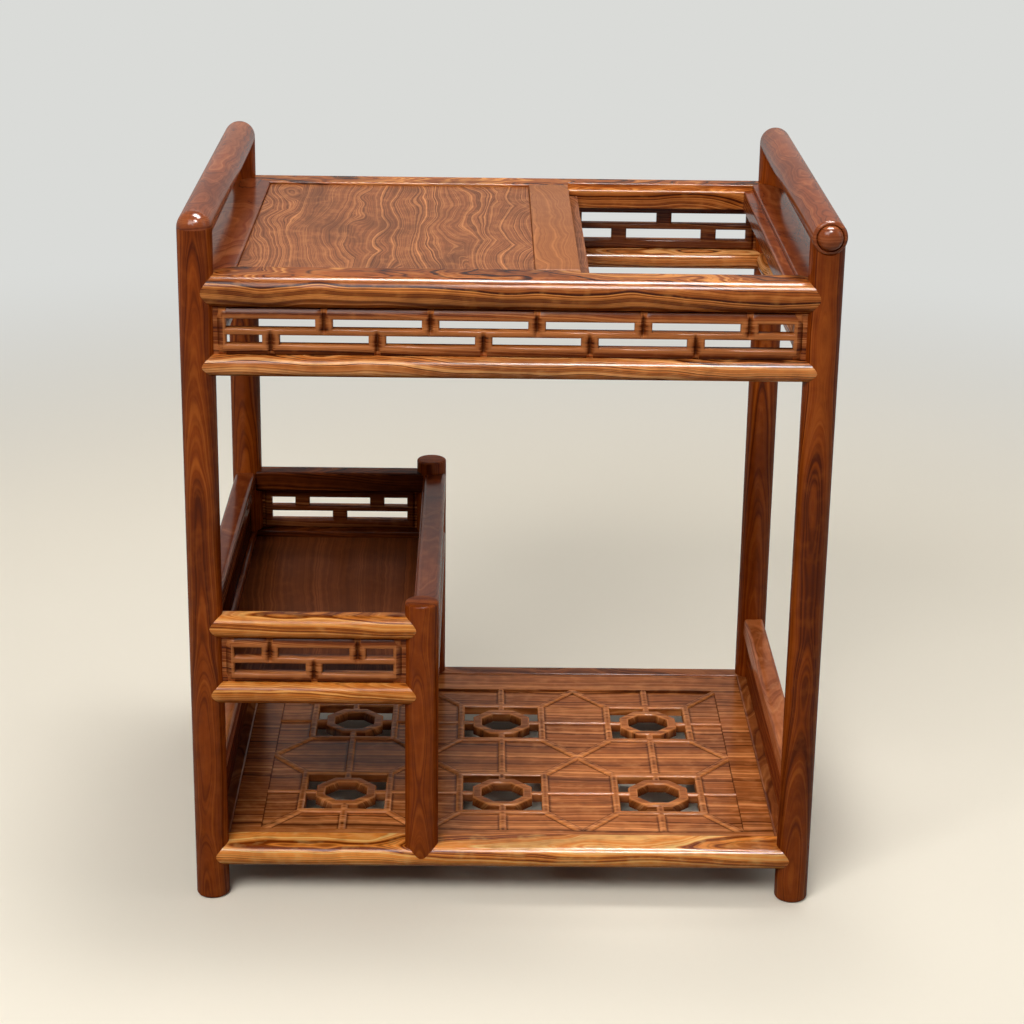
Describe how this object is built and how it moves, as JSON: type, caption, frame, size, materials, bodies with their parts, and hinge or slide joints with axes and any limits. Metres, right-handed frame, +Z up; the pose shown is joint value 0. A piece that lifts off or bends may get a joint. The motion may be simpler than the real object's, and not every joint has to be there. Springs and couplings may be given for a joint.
{
  "type": "tea cabinet",
  "caption": "Free-standing rosewood tea stand with round hand rails, a framed top beside an open well, fretwork aprons, a raised side tray and a pierced lattice shelf.",
  "frame": {"origin": "on the floor, under the middle of the legs", "axes": "+X to the right-hand side, +Y to the rear, +Z up"},
  "size_m": [0.602, 0.468, 0.684],
  "materials": {
    "dark_rosewood": "satin lacquer",
    "red_rosewood": "satin lacquer",
    "amber_rosewood": "satin lacquer",
    "figured_rosewood": "satin lacquer",
    "striped_rosewood": "satin lacquer",
    "deep_rosewood": "satin lacquer"
  },
  "bodies": {
    "root": {"front_apron_fret": "dark_rosewood", "front_apron_rail": "amber_rosewood", "front_left_leg": "dark_rosewood", "front_right_leg": "dark_rosewood", "left_apron_fret": "dark_rosewood", "left_apron_rail": "amber_rosewood", "left_curb_board": "dark_rosewood", "left_curb_rail": "red_rosewood", "left_hand_rail": "red_rosewood", "rear_apron_fret": "dark_rosewood", "rear_apron_rail": "amber_rosewood", "rear_left_leg": "dark_rosewood", "rear_right_leg": "dark_rosewood", "right_apron_fret": "dark_rosewood", "right_apron_rail": "amber_rosewood", "right_curb_board": "dark_rosewood", "right_curb_rail": "red_rosewood", "right_hand_rail": "red_rosewood", "shelf_front_rail": "amber_rosewood", "shelf_left_batten": "striped_rosewood", "shelf_left_rail": "amber_rosewood", "shelf_panel": "striped_rosewood", "shelf_rear_rail": "amber_rosewood", "shelf_right_batten": "striped_rosewood", "shelf_right_rail": "amber_rosewood", "top_divider": "figured_rosewood", "top_front_rail": "dark_rosewood", "top_left_rail": "red_rosewood", "top_panel": "figured_rosewood", "top_panel_front_batten": "striped_rosewood", "top_panel_rear_batten": "striped_rosewood", "top_rear_rail": "dark_rosewood", "top_right_rail": "red_rosewood", "tray_floor": "deep_rosewood", "tray_front_fret": "dark_rosewood", "tray_front_low_rail": "amber_rosewood", "tray_front_post": "dark_rosewood", "tray_front_top_rail": "amber_rosewood", "tray_left_board": "dark_rosewood", "tray_left_low_rail": "amber_rosewood", "tray_left_top_rail": "amber_rosewood", "tray_rear_fret": "dark_rosewood", "tray_rear_low_rail": "amber_rosewood", "tray_rear_post": "dark_rosewood", "tray_rear_top_rail": "amber_rosewood", "tray_right_board": "dark_rosewood", "tray_right_low_rail": "amber_rosewood", "tray_right_top_rail": "amber_rosewood"}
  },
  "joints": []
}
